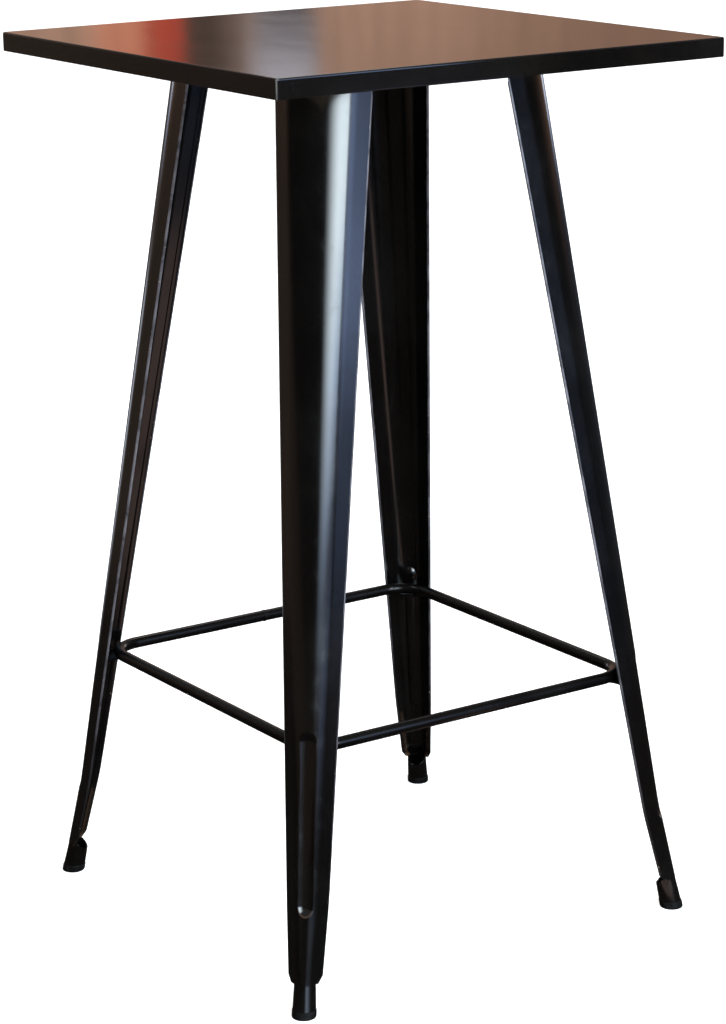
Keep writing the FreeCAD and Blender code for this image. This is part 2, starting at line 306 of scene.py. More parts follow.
gusset_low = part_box("corner_gusset_back_right")[0]
rail_low, rail_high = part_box("apron_rail_back")
seam_inset = 0.0015                         # from the ends of the flange
seam_from, seam_to = gusset_low.x + seam_inset, rail_high.x - seam_inset
gusset_seams = [
    [(seam_from, rail_low.y, gusset_low.z), (seam_to, rail_low.y, gusset_low.z)],
    [(rail_low.y, seam_from, gusset_low.z), (rail_low.y, seam_to, gusset_low.z)]]
bead = weld_bead()
bead.build(
    "weld_beads_gussets", sketch("gusset_seams", four_corners(gusset_seams, 0)),
    {"Drop": 0.0017, "Step": 0.0014, "Material": frame_paint}, "painted_sheet")


# ---------------------------------------------------------------- board inside the top
# A raw particle board, 20 mm thick, that stiffens the folded sheet. It is cut square
# and shows only underneath, inside the folded edge.

def particle_board():
    """Pressed flakes of light and dark wood under a film of saw dust."""
    board = Finish("raw_particle_board")
    dark_flake, light_flake = (0.30, 0.19, 0.10, 1), (0.56, 0.42, 0.26, 1)
    saw_dust = (0.40, 0.31, 0.21, 1)
    flakes_per_metre = 420.0
    relief_depth = 0.0003
    flakes = board.node(
        "ShaderNodeTexVoronoi", {"feature": "F1"},
        {"Vector": board.place(), "Scale": flakes_per_metre, "Randomness": 1.0}, "Color")
    shade = board.node("ShaderNodeSeparateColor", {}, {"Color": flakes})
    dust = board.noise(0.05, 3.0).between(0.4, 0.7)
    tone = board.mix(shade, dark_flake, light_flake)
    tone = board.mix(dust * 0.4, tone, saw_dust)
    relief = board.bump(shade, relief_depth)
    return board.surface({
        "Base Color": tone, "Roughness": 0.85 - dust * 0.1, "Normal": relief})


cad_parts["core_board"].data.materials[0] = particle_board()


# ---------------------------------------------------------------- folded top
# One square of 1.2 mm sheet, folded down at the rim and in again under the board.
# The corners are welded, ground round and enamelled in a deep gloss black.

top_low, top_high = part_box("tabletop_pan")
top_half = top_high.x
top_sheet = 0.0012
top_edge_radius = 0.002
top_hem_radius = 0.0012
top_corner_radius = 0.0035
top_least_radius = 0.0004                   # of a corner, however far inside the rim
top_return = 0.014                          # width of the strip folded in under the board
top_cut_edge = (0.0006, 0.0003)             # eased edge of that strip: width, height
top_face_inset = 0.012                      # flat face, inside the rim
corner_steps = 8
fold_steps = 6


def rounded_square(half, radius):
    """Closed outline of a square with round corners, anticlockwise."""
    points = []
    for quarter in range(4):
        turn = Matrix.Rotation(math.pi / 2 * quarter, 2)
        for step in range(corner_steps + 1):
            angle = math.pi / 2 * step / corner_steps
            at = Vector((math.cos(angle), math.sin(angle))) * radius
            points.append(turn @ (at + Vector((half - radius, half - radius))))
    return points


def finished(name, builder, material, node, smooth_angle=40):
    """Turn a bmesh into a piece that rides on the frame and replaces a node."""
    builder.normal_update()
    mesh = bpy.data.meshes.new(name)
    builder.to_mesh(mesh)
    builder.free()
    mesh.shade_smooth()
    mesh.set_sharp_from_angle(angle=math.radians(smooth_angle))
    piece = bpy.data.objects.new(name, mesh)
    bpy.context.scene.collection.objects.link(piece)
    mesh.materials.append(material)
    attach(piece, "root")
    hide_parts(node)


def folded_top():
    """Closed skin of the pan, as loops from the top, round the rim and back inside."""
    builder = bmesh.new()
    rim = builder.verts.layers.float.new("rim")
    wear_and_highlight = builder.verts.layers.float.new("wear_and_highlight")
    rings = []

    def ring(inset, z):
        """One loop of the skin, with its share of the rim's finish and of the painted
        highlight down the corners.
        """
        radius = max(top_corner_radius - inset, top_least_radius)
        outline = rounded_square(top_half - inset, radius)
        row = [builder.verts.new((x, y, z)) for x, y in outline]
        for index, vert in enumerate(row):
            vert[rim] = min((top_high.z - z) / top_edge_radius, 1.0)
            # the middle of each corner's arc, below the face, takes the painted highlight
            past = abs(index % (corner_steps + 1) - corner_steps / 2) / corner_steps * 2
            vert[wear_and_highlight] = max(0.0, 1 - past * 2) * vert[rim]
        rings.append(row)

    top, bottom = top_high.z, top_low.z
    turns = [math.pi / 2 * step / fold_steps for step in range(fold_steps + 1)]
    ring(top_face_inset, top)
    ring(top_edge_radius * 1.2, top)
    for turn in turns:
        inset = top_edge_radius * (1 - math.sin(turn))
        ring(inset, top - top_edge_radius * (1 - math.cos(turn)))
    ring(0, top - top_edge_radius * 1.3)
    ring(0, bottom + top_hem_radius * 1.4)
    for turn in turns:
        inset = top_hem_radius * (1 - math.cos(turn))
        ring(inset, bottom + top_hem_radius * (1 - math.sin(turn)))
    ring(top_return - top_cut_edge[0], bottom)
    ring(top_return, bottom + top_cut_edge[1])
    ring(top_return, bottom + top_sheet)
    ring(top_sheet, bottom + top_sheet)
    ring(top_sheet, top - top_sheet)
    for upper, lower in zip(rings, rings[1:]):
        count = len(upper)
        for index in range(count):
            after = (index + 1) % count
            builder.faces.new((upper[index], lower[index], lower[after], upper[after]))
    builder.faces.new(rings[0])
    builder.faces.new(list(reversed(rings[-1])))
    return builder


def top_enamel():
    """Deep gloss black on a slow sheet wave, with wiping marks on the face alone."""
    paint = Finish("black_top_enamel")
    black = (0.0020, 0.0017, 0.0016, 1)
    film = (0.010, 0.008, 0.006, 1)
    dust_grey = (0.06, 0.05, 0.045, 1)
    # rubbed grey down the rim's corners is a painted highlight
    rubbed_highlight_grey = (0.13, 0.12, 0.115, 1)
    wave_size, wave_depth = 0.22, 0.00022
    peel_size, peel_depth = 0.0020, 0.000012

    # marks of wiping run along Y; dust lies everywhere; the corners are rubbed grey in
    # places, a painted highlight down the rim
    wiped = paint.noise(0.16, 5.0, 0.6, stretch=(1, 0.35, 1)).between(0.35, 0.75)
    dust = paint.noise(0.0022, 2.0, 0.8).between(0.72, 0.78)
    rim = paint.attribute("rim")
    # painted highlight on the rim's corners, in patches
    rubbed_highlight = paint.attribute("wear_and_highlight") * paint.noise(0.012, 3.0).between(0.30, 0.60)
    tone = paint.mix(wiped * 0.35, black, film)
    tone = paint.mix(dust * 0.35, tone, dust_grey)
    tone = paint.mix(rubbed_highlight, tone, rubbed_highlight_grey)
    roughness = 0.075 + wiped * 0.05 * (1 - rim) + dust * 0.2 - rim * 0.02
    wave = paint.bump(paint.noise(wave_size, 1.0, 0.4), wave_depth)
    peel = paint.bump(paint.noise(peel_size, 2.0, 0.5), peel_depth, wave)
    return paint.surface({
        "Base Color": tone, "Roughness": roughness, "Normal": peel, "IOR": 1.5})


finished("top_sheet", folded_top(), top_enamel(), "tabletop_pan")


# ---------------------------------------------------------------- board screws
# Four zinc-plated hexagon-head wood screws with a rolled flange under the head,
# driven from below through the gussets into the board.

screw_low, screw_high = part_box("board_screws")
screw_offset = 0.127                        # from either mid-plane of the table
screw_corner = 0.0046                       # of the hexagon, from its middle
shank_radius = 0.0025


def plated_steel():
    """Bright zinc plate, clouded by the bath."""
    zinc = Finish("zinc_plated_steel")
    dull, bright = (0.50, 0.49, 0.45, 1), (0.64, 0.62, 0.56, 1)
    cloud = zinc.noise(0.004, 3.0).between(0.35, 0.7)
    tone = zinc.mix(cloud, dull, bright)
    grain = zinc.bump(zinc.noise(0.0004, 2.0), 0.00002)
    return zinc.surface({
        "Base Color": tone, "Metallic": 1.0, "Roughness": 0.32 + cloud * 0.15,
        "Normal": grain})


def hexagon_screw():
    """Screws on points: a washer face, a chamfered hexagon and the shank above it."""
    washer_reach, chamfer_reach = 0.90, 0.84                        # of the hexagon's corner
    washer_share, side_share, chamfer_share = 0.16, 0.70, 0.14      # of the head's height
    maker = Recipe("hexagon_screw", {
        "Corner": "Float", "Head": "Float", "Shank": "Float", "Length": "Float",
        "Material": "Material"})
    corner, head = maker.given("Corner"), maker.given("Head")

    def moved(mesh, height):
        """A mesh, raised by a height."""
        rise = maker.node("ShaderNodeCombineXYZ", {}, {"Z": height})
        return maker.node(
            "GeometryNodeTransform", {}, {"Geometry": mesh, "Translation": rise})

    washer = maker.node("GeometryNodeMeshCylinder", {}, {
        "Vertices": 32, "Radius": corner * washer_reach, "Depth": head * washer_share})
    sides = maker.node("GeometryNodeMeshCylinder", {}, {
        "Vertices": 6, "Radius": corner, "Depth": head * side_share})
    chamfer = maker.node("GeometryNodeMeshCone", {}, {
        "Vertices": 6, "Radius Top": corner, "Radius Bottom": corner * chamfer_reach,
        "Depth": head * chamfer_share})
    shank = maker.node("GeometryNodeMeshCylinder", {}, {
        "Vertices": 24, "Radius": maker.given("Shank"), "Depth": maker.given("Length")})
    parts = maker.node("GeometryNodeJoinGeometry", {}, {})
    for part in (
            moved(washer, head * (-washer_share / 2)),
            moved(sides, head * (-washer_share - side_share / 2)),
            moved(chamfer, head * -1.0),
            moved(shank, maker.given("Length") * 0.5)):
        maker.tree.links.new(part.socket, parts.socket.node.inputs[0])
    spin = maker.node(
        "FunctionNodeRandomValue", {"data_type": "FLOAT"}, {2: 0.0, 3: 1.0, "Seed": 2}, 1)
    turn = maker.node(
        "FunctionNodeAxisAngleToRotation", {}, {"Axis": (0, 0, 1), "Angle": spin})
    screws = maker.node("GeometryNodeInstanceOnPoints", {}, {
        "Points": maker.given("Sketch"), "Instance": parts, "Rotation": turn})
    maker.deliver(screws)
    return maker


screw_points = bpy.data.meshes.new("screw_points")
screw_points.from_pydata(
    [(x, y, gusset_low.z) for x in (-screw_offset, screw_offset)
     for y in (-screw_offset, screw_offset)], [], [])
hexagon_screw().build("hexagon_board_screws", screw_points, {
    "Corner": screw_corner, "Head": gusset_low.z - screw_low.z, "Shank": shank_radius,
    "Length": screw_high.z - gusset_low.z, "Material": plated_steel()},
    "plated_fastener", "board_screws")


# ---------------------------------------------------------------- legs
# Four equal legs, each pressed and folded from 1.5 mm sheet: two flats with hemmed
# edges, a rounded ridge between them that tapers downwards, a groove embossed in
# the ridge, and a foot that kicks out and is rolled into a tube.

leg_sheet = 0.0015
leg_top, leg_kick, leg_flange_end = 1.0330, 0.1250, 0.0380      # heights
leg_side = (0.1680, 0.2634, 0.2752)         # mid-plane to a flat, at those heights
leg_width = (0.0776, 0.0337, 0.0268)        # of a flat, from the unrounded corner
leg_radius = (0.0570, 0.0199, 0.0130)       # of the ridge
leg_kick_softness = 0.010
leg_hem, leg_hem_top = 0.0070, 1.0088       # width, upper end
hem_end_gap, hem_end_slope = 0.0003, 0.0002
# the band beside the hem's fold takes the painted highlight
rubbed_highlight_band = 0.0011                        # band beside the hem's fold
flange_corner = (0.005, 0.008)              # cut off each flat: width, height
groove_range = (0.114, 0.320)
groove_radius = 0.016                       # of the tool that presses it
groove_depth = 0.0045
groove_shoulder = 0.0011
groove_lip = 0.007                          # height of its lower end that is rubbed brown
ridge_wear = 0.7                            # where the groove's shoulder stands out
foot_radius = (0.0134, 0.0124)              # at its end, at the flange end
foot_low = 0.0090
foot_relief_low, foot_relief_high = 0.0300, 0.0386
foot_relief_rise, foot_relief_run = 0.008, 0.0100
root_half = math.sqrt(0.5)

# the ridge and the flats' normal and width, as seen along a leg that points to +X
ridge_step = math.sqrt(2) - 1               # unrounded corner to the ridge, per radius
flat_along = Vector((-root_half, root_half))
flat_normal = Vector((root_half, root_half))


def along_leg(sizes, z):
    """A size of the leg at a height: two straight tapers, eased where they meet."""
    top, kick, end = sizes
    upper = (top - kick) / (leg_top - leg_kick)
    lower = (kick - end) / (leg_kick - leg_flange_end)
    rise = z - leg_kick
    eased = math.sqrt(rise * rise + leg_kick_softness ** 2) - leg_kick_softness
    return kick + rise * (upper + lower) / 2 + eased * (upper - lower) / 2


def ridge_reach(radius, angle, z):
    """Ridge axis to its outer face, and how much of the groove's shoulder is there."""
    low, high = groove_range
    half_chord = math.sqrt(groove_radius ** 2 - (groove_radius - groove_depth) ** 2)
    past = max(low + half_chord - z, z - high + half_chord, 0.0)
    if past >= groove_radius:
        return radius, 0.0
    tool = math.sqrt(groove_radius ** 2 - past ** 2)
    centre = radius + groove_radius - groove_depth
    sine = centre * math.sin(angle)
    if abs(sine) >= tool:
        return radius, 0.0
    pressed = centre * math.cos(angle) - math.sqrt(tool ** 2 - sine ** 2)
    gap = groove_shoulder - abs(radius - pressed)
    blend = max(gap, 0.0) ** 2 / groove_shoulder / 4
    return min(radius, pressed) - blend, max(0.0, gap / groove_shoulder)


def leg_section(z):
    """Outline of the folded sheet at a height, with each point's share of wear and of the
    painted highlight.
    """
    corner = Vector((along_leg(leg_side, z) / root_half, 0))
    radius = along_leg(leg_radius, z)
    width = along_leg(leg_width, z)
    cut = max(0.0, leg_flange_end + flange_corner[1] - z) / flange_corner[1]
    width -= flange_corner[0] * cut
    outer, inner = [], []

    # the fold of the hem, then its end inside the leg
    nose = leg_sheet if z <= leg_hem_top else leg_sheet / 2
    edge = corner + flat_along * width - flat_normal * nose
    fold_steps, flat_steps, arc_steps = 8, 6, 22
    for step in range(fold_steps + 1):
        turn = math.pi * step / fold_steps
        out = flat_normal * math.cos(turn) + flat_along * math.sin(turn)
        (outer if step <= fold_steps // 2 else inner).append((edge + out * nose, 1.0))
    outer.reverse()
    hem_end = corner + flat_along * (width - leg_hem)
    slope = flat_along * hem_end_slope
    inner.append((hem_end - flat_normal * (2 * nose - hem_end_gap) + slope, 0.3))
    inner.append((hem_end - flat_normal * leg_sheet, 0.0))
    inner.append((hem_end - flat_normal * leg_sheet - slope, 0.0))

    # the flat, outside and inside, up to the ridge
    # a narrow band beside the fold that takes the painted highlight
    outer.append((corner + flat_along * (width - rubbed_highlight_band), 0.95))
    for step in range(flat_steps + 1):
        share = step / flat_steps
        reach = width - 2 * rubbed_highlight_band - (width - 2 * rubbed_highlight_band - radius) * share
        outer.append((corner + flat_along * reach, 0.0))
        if step:
            inside = width - leg_hem - (width - leg_hem - radius) * share
            inner.append((corner + flat_along * inside - flat_normal * leg_sheet, 0.0))

    # half of the ridge; the other half of the leg mirrors all of this
    axis = corner - Vector((radius / root_half, 0))
    for step in range(1, arc_steps + 1):
        angle = math.pi / 4 * (1 - step / arc_steps)
        reach, shoulder = ridge_reach(radius, angle, z)
        out = Vector((math.cos(angle), math.sin(angle)))
        outer.append((axis + out * reach, shoulder * ridge_wear))
        inner.append((axis + out * (reach - leg_sheet), 0.0))

    mirror = Vector((1, -1))
    far_outer = [(point * mirror, wear_and_highlight) for point, wear_and_highlight in reversed(outer[:-1])]
    far_inner = [(point * mirror, wear_and_highlight) for point, wear_and_highlight in reversed(inner[:-1])]
    return outer + far_outer + list(reversed(inner + far_inner))


def leg_heights():
    """Close rows where the leg's shape changes, wide rows on the plain tapers."""

    def rows(first, apart, count):
        return [first + step * apart for step in range(count)]

    groove_low, groove_high = groove_range
    groove_step = 0.0008
    marks = rows(leg_flange_end, 0.001, 9)                  # the corners cut off the flats
    marks += [0.052, 0.066, 0.080, 0.092, 0.102, 0.109]     # the kick
    marks += rows(groove_low - 0.002, groove_step, 26)
    marks += rows(0.140, 0.012, 13)
    marks += rows(groove_high - 0.018, groove_step, 26)
    marks += rows(0.320, 0.030, 22)                         # the long taper
    marks += [0.985, leg_hem_top - 0.0004, leg_hem_top + 0.0008, 1.020, leg_top - 0.0004]
    return sorted(marks)


# the rolled foot leans as the ridge does below the kick
ridge_low = leg_side[2] / root_half - ridge_step * leg_radius[2]
ridge_kick = leg_side[1] / root_half - ridge_step * leg_radius[1]
foot_lean = (ridge_kick - ridge_low) / (leg_kick - leg_flange_end)


def foot_middle(z):
    """Table's axis to the middle of the foot, at a height."""
    return ridge_low - leg_radius[2] + (z - leg_flange_end) * foot_lean


def leg_skin():
    """The folded sheet and the rolled foot of one leg, with its ridge towards +X."""
    least_wear_and_highlight, full_strength_height = 0.86, 0.5        # the painted highlight fades out, and the wear lessens, towards the floor
    cut_edge, cut_edge_wear = 0.002, 0.85
    foot_wear = 0.8
    builder = bmesh.new()
    wear_and_highlight_layer = builder.verts.layers.float.new("wear_and_highlight")
    lip = builder.verts.layers.float.new("lip")
    rows = []
    for z in leg_heights():
        row = []
        for point, wear_and_highlight in leg_section(z):
            vert = builder.verts.new((point.x, point.y, z))
            wear_and_highlight *= least_wear_and_highlight + (1 - least_wear_and_highlight) * min(z / full_strength_height, 1.0)
            low_edge = max(0.0, 1 - (z - leg_flange_end) / cut_edge)
            vert[wear_and_highlight_layer] = max(wear_and_highlight, low_edge * cut_edge_wear)
            at_lip = z < groove_range[0] + groove_lip and abs(point.y) < groove_radius
            vert[lip] = min(wear_and_highlight / ridge_wear, 1.0) if at_lip else 0.0
            row.append(vert)
        rows.append(row)
    count = len(rows[0])
    for lower, upper in zip(rows, rows[1:]):
        for index in range(count):
            after = (index + 1) % count
            builder.faces.new((lower[index], upper[index], upper[after], lower[after]))

    # the cut ends of the sheet, closed strip by strip between outside and inside
    half = count // 2
    for row, up in ((rows[0], False), (rows[-1], True)):
        for index in range(half - 1):
            strip = [
                row[index], row[index + 1], row[count - 2 - index], row[count - 1 - index]]
            if len(set(strip)) == 4:
                builder.faces.new(strip if up else strip[::-1])

    # rolled foot: a tube that leans with the kick, cut back on its open side
    open_side = ridge_low - 2 * foot_radius[1]
    around = 48
    skins = []
    for depth, order in ((0.0, 1), (leg_sheet, -1)):
        for share in (0.0, 0.02, 0.25, 0.5, 0.75, 0.98, 1.0)[::order]:
            row = []
            for step in range(around):
                angle = 2 * math.pi * step / around
                u = foot_middle(leg_flange_end) + foot_radius[1] * math.cos(angle)
                cut = foot_relief_low + (u - open_side) / foot_relief_run * foot_relief_rise
                top = min(max(cut, foot_relief_low), foot_relief_high)
                z = foot_low + (top - foot_low) * share
                flare = (leg_flange_end - z) / (leg_flange_end - foot_low)
                radius = foot_radius[1] + (foot_radius[0] - foot_radius[1]) * flare - depth
                vert = builder.verts.new((
                    foot_middle(z) + radius * math.cos(angle), radius * math.sin(angle), z))
                vert[wear_and_highlight_layer] = foot_wear if share in (0.0, 1.0) else 0.0
                row.append(vert)
            skins.append(row)
    for index, row in enumerate(skins):
        following = skins[(index + 1) % len(skins)]
        for step in range(around):
            after = (step + 1) % around
            builder.faces.new((row[step], row[after], following[after], following[step]))
    bmesh.ops.remove_doubles(builder, verts=builder.verts, dist=0.00002)
    bmesh.ops.recalc_face_normals(builder, faces=builder.faces)
    return builder


def turned_to_corner(builder, index):
    """A leg's piece, turned from +X to one of the corners."""
    turn = Matrix.Rotation(math.radians(45 + 90 * index), 3, "Z")
    bmesh.ops.rotate(builder, verts=builder.verts, matrix=turn)
    return builder


leg_paint = black_paint("black_leg_enamel", roughness=0.145, peel=0.000008, grime=0.22)
for index, corner in enumerate(corners):
    skin = turned_to_corner(leg_skin(), index)
    finished(
        "pressed_leg_" + corner, skin, leg_paint, "leg_" + corner,
        smooth_angle=32)


def rail_seam(side):
    """Path down the free edge of a flat, in front of the rail's web."""
    beside_edge, sunk = 0.0006, 0.0002
    above_rail_foot, below_leg_top = 0.0015, 0.0020
    path = []
    for z in (rail_low.z + above_rail_foot, leg_top - below_leg_top):
        spot = Vector((along_leg(leg_side, z) / root_half, 0))
        spot += flat_along * (along_leg(leg_width, z) + beside_edge)
        spot -= flat_normal * (leg_sheet - sunk)
        path.append((spot.x, spot.y * side, z))
    return path


bead.build(
    "weld_beads_rails", sketch("rail_seams", four_corners([rail_seam(1), rail_seam(-1)], 45)),
    {"Drop": 0.0015, "Step": 0.0013, "Material": leg_paint}, "painted_sheet")


# ---------------------------------------------------------------- footrest
# A square of 14 mm round bar, bent at the corners and butt-welded. It lies inside
# the legs on four small shelves and is welded to them.

bar_low, bar_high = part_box("footrest_ring")
bar_radius = (bar_high.z - bar_low.z) / 2
bar_half = bar_high.x - bar_radius
bar_bend = 0.040


def bent_bar():
    """A circle swept round the square path, worn on top by feet."""
    bend_steps, around = 14, 28
    upper_wear = 0.35
    builder = bmesh.new()
    wear_and_highlight_layer = builder.verts.layers.float.new("wear_and_highlight")
    stations = []
    for quarter in range(4):
        turn = Quaternion((0, 0, 1), math.pi / 2 * quarter)
        centre = Vector((bar_half - bar_bend, bar_half - bar_bend, bar_low.z + bar_radius))
        for step in range(bend_steps + 1):
            angle = math.pi / 2 * step / bend_steps
            out = Vector((math.cos(angle), math.sin(angle), 0))
            stations.append((turn @ (centre + out * bar_bend), turn @ out))
    rows = []
    for place, out in stations:
        row = []
        for step in range(around):
            angle = 2 * math.pi * step / around
            offset = out * math.cos(angle) + Vector((0, 0, 1)) * math.sin(angle)
            vert = builder.verts.new(place + offset * bar_radius)
            vert[wear_and_highlight_layer] = upper_wear * max(0.0, math.sin(angle))
            row.append(vert)
        rows.append(row)
    for index, row in enumerate(rows):
        following = rows[(index + 1) % len(rows)]
        for step in range(around):
            after = (step + 1) % around
            builder.faces.new((row[step], row[after], following[after], following[step]))
    bmesh.ops.recalc_face_normals(builder, faces=builder.faces)
    return builder


bar_paint = black_paint(
    "black_bar_enamel", roughness=0.24, peel=0.000010, grime=0.25, sheen=0.15)
finished(
    "footrest_bar", bent_bar(), bar_paint, "footrest_ring", smooth_angle=60)
for corner in corners:
    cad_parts["footrest_shelf_" + corner].data.materials[0] = bar_paint

shelf_low, shelf_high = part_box("footrest_shelf_back_right")


def footrest_seams():
    """Beads of one corner: both sides of the bar on the shelf, the shelf on the flats."""
    centre = (bar_half - bar_bend) / root_half
    beside_bar, above_shelf = 0.0030, 0.0004
    inside_flat = leg_sheet + 0.0004
    off_shelf, beside_hem, beside_ridge = 0.0002, 0.0015, 0.0005
    seams = []
    for radius in (bar_bend - beside_bar, bar_bend + beside_bar):
        angles = [math.radians(turn) for turn in range(-12, 13, 3)]
        seams.append([
            (centre + radius * math.cos(a), radius * math.sin(a), shelf_high.z + above_shelf)
            for a in angles])
    for z in (shelf_low.z - off_shelf, shelf_high.z + off_shelf):
        corner = along_leg(leg_side, z) / root_half
        width, radius = along_leg(leg_width, z), along_leg(leg_radius, z)
        for side in (1, -1):
            path = []
            for reach in (width - leg_hem - beside_hem, radius + beside_ridge):
                u = corner - reach * root_half - inside_flat * root_half
                v = reach * root_half - inside_flat * root_half
                path.append((u, v * side, z))
            seams.append(path)
    return seams


bead.build(
    "weld_beads_footrest", sketch("footrest_seams", four_corners(footrest_seams(), 45)),
    {"Drop": 0.0015, "Step": 0.0013, "Material": bar_paint}, "painted_sheet")

# the butt weld that closes the square, in the middle of the back bar
joint_sunk = 0.0005
joint_radius = bar_radius - joint_sunk
joint_steps = 32
joint = []
for step in range(joint_steps + 1):
    angle = 2 * math.pi * step / joint_steps
    y, rise = joint_radius * math.cos(angle), joint_radius * math.sin(angle)
    joint.append((0.0, bar_half + y, bar_low.z + bar_radius + rise))
bead.build(
    "weld_bead_joint", sketch("bar_joint", [joint]),
    {"Drop": 0.0012, "Step": 0.0011, "Material": bar_paint}, "painted_bar")


# ---------------------------------------------------------------- glides
# A moulded rubber plug in the end of each foot, with a sole that stands out a
# little all round. It is pressed in and stays matt and dusty.

def moulded_rubber():
    """Matt black rubber with dust on it."""
    rubber = Finish("black_moulded_rubber")
    clean, dusty = (0.002, 0.002, 0.002, 1), (0.009, 0.0085, 0.008, 1)
    dust = rubber.noise(0.006, 4.0, 0.65).between(0.4, 0.75)
    tone = rubber.mix(dust, clean, dusty)
    grain = rubber.bump(rubber.noise(0.0005, 2.0), 0.00003)
    return rubber.surface({
        "Base Color": tone, "Roughness": 0.55 + dust * 0.2, "Normal": grain,
        "Specular IOR Level": 0.08})


# radius and height, up the outside of the plug: sole, mould line, shoulder, ribbed stem
glide_profile = (
    (0.0104, 0.0000), (0.0131, 0.0000), (0.0137, 0.0004), (0.0141, 0.0013), (0.0141, 0.0044),
    (0.01385, 0.0047), (0.0141, 0.0050), (0.0141, 0.0078), (0.0138, 0.0086), (0.0132, 0.0090),
    (0.0106, 0.0090), (0.0108, 0.0098), (0.0108, 0.0125), (0.0101, 0.0133), (0.0101, 0.0146),
    (0.0108, 0.0152), (0.0108, 0.0176), (0.0101, 0.0184), (0.0101, 0.0196), (0.0106, 0.0202),
    (0.0104, 0.0214), (0.0092, 0.0220))


def glide_plug():
    """The profile turned about the foot's leaning axis, with a flat end at each side."""
    builder = bmesh.new()
    around = 56
    angles = [2 * math.pi * step / around for step in range(around)]
    rows = []
    for radius, z in glide_profile:
        rows.append([builder.verts.new((
            foot_middle(z) + radius * math.cos(a), radius * math.sin(a), z)) for a in angles])
    for lower, upper in zip(rows, rows[1:]):
        for step in range(around):
            after = (step + 1) % around
            builder.faces.new((lower[step], lower[after], upper[after], upper[step]))
    builder.faces.new(rows[0][::-1])
    builder.faces.new(rows[-1])
    return builder


glide_rubber = moulded_rubber()
for index, corner in enumerate(corners):
    plug = turned_to_corner(glide_plug(), index)
    finished(
        "rubber_glide_" + corner, plug, glide_rubber, "foot_glide_" + corner)


# ---------------------------------------------------------------- studio
# A pale floor that meets a white surround, and soft lamps that the camera doesn't see:
# a tall cool window in front, dimmer ones at the right and behind, and three lamps
# above. Reflections show a warm, dim room instead of the white.

def room():
    """White for the camera; in reflections a dim room with a warm, streaky rear wall."""
    surround = Finish("studio_room", bpy.data.worlds.new("studio_room"))
    bpy.context.scene.world = surround.owner
    white = (1, 1, 1, 1)
    pale_timber, dark_timber = (0.74, 0.44, 0.31, 1), (0.42, 0.24, 0.165, 1)
    grain_colour, crack_colour = (0.30, 0.17, 0.115, 1), (0.13, 0.085, 0.065, 1)
    lamp_colour = (1.0, 0.96, 1.05, 1)
    wall_foot, other_walls, ceiling = (
        (0.24, 0.17, 0.12, 1), (0.032, 0.029, 0.028, 1), (0.26, 0.25, 0.25, 1))
    hangings = (                            # on the rear wall: bearing, width, colour
        (-0.074, 0.016, (0.95, 0.36, 0.22, 1)),
        (-0.064, 0.008, (0.66, 0.10, 0.06, 1)),
        (-0.049, 0.011, (0.10, 0.07, 0.055, 1)),
        (-0.035, 0.009, (0.30, 0.20, 0.16, 1)),
        (-0.022, 0.010, (0.145, 0.122, 0.122, 1)))
    ray = surround.node("ShaderNodeLightPath", {}, {}, "Is Camera Ray")
    direction = surround.place("Generated")

    def facing(aim):
        """Cosine of the angle to a direction."""
        return surround.node(
            "ShaderNodeVectorMath", {"operation": "DOT_PRODUCT"},
            {0: direction, 1: aim}, "Value")

    def streak(bearing, width):
        """1 in a soft-edged upright strip of the rear wall, 0 elsewhere."""
        return 1 - abs(across - bearing).between(width * 0.55, width * 1.25)

    # across the rear wall to the right, with a little wander; towards it; and upwards
    wander = surround.noise(0.011, 2.0, 0.5, at=direction) - 0.5
    across = facing((0.829, -0.560, 0.0)) + wander * 0.024
    rear = facing((0.560, 0.829, 0.0)).between(0.05, 0.95)
    height = facing((0.0, 0.0, 1.0))

    # timber with grain, hangings, cracks, a small lamp, and the rest of the room
    grain = surround.noise(0.014, 3.0, 0.6, stretch=(1, 1, 0.12), at=direction)
    cracks = surround.noise(0.005, 2.0, 0.5, stretch=(1, 1, 0.04), at=direction)
    wall = surround.mix(across.between(-0.02, 0.10), pale_timber, dark_timber)
    wall = surround.mix(grain.between(0.30, 0.75) * 0.45, wall, grain_colour)
    for bearing, width, colour in hangings:
        wall = surround.mix(streak(bearing, width), wall, colour)
    wall = surround.mix(cracks.between(0.45, 0.75) * 0.30, wall, crack_colour)
    lamp = streak(-0.025, 0.012) * height.between(0.110, 0.121)
    wall = surround.mix(lamp, wall, lamp_colour)
    wall = surround.mix(height.between(-0.12, 0.02), wall_foot, wall)
    tone = surround.mix(rear, other_walls, wall)
    tone = surround.mix(height.between(0.15, 0.50), tone, ceiling)
    dim = surround.node("ShaderNodeBackground", {}, {"Color": tone, "Strength": 1.0})
    bright = surround.node("ShaderNodeBackground", {}, {"Color": white, "Strength": 1.0})
    shown = surround.node("ShaderNodeMixShader", {}, [ray, dim, bright])
    surround.node("ShaderNodeOutputWorld", {}, {"Surface": shown})


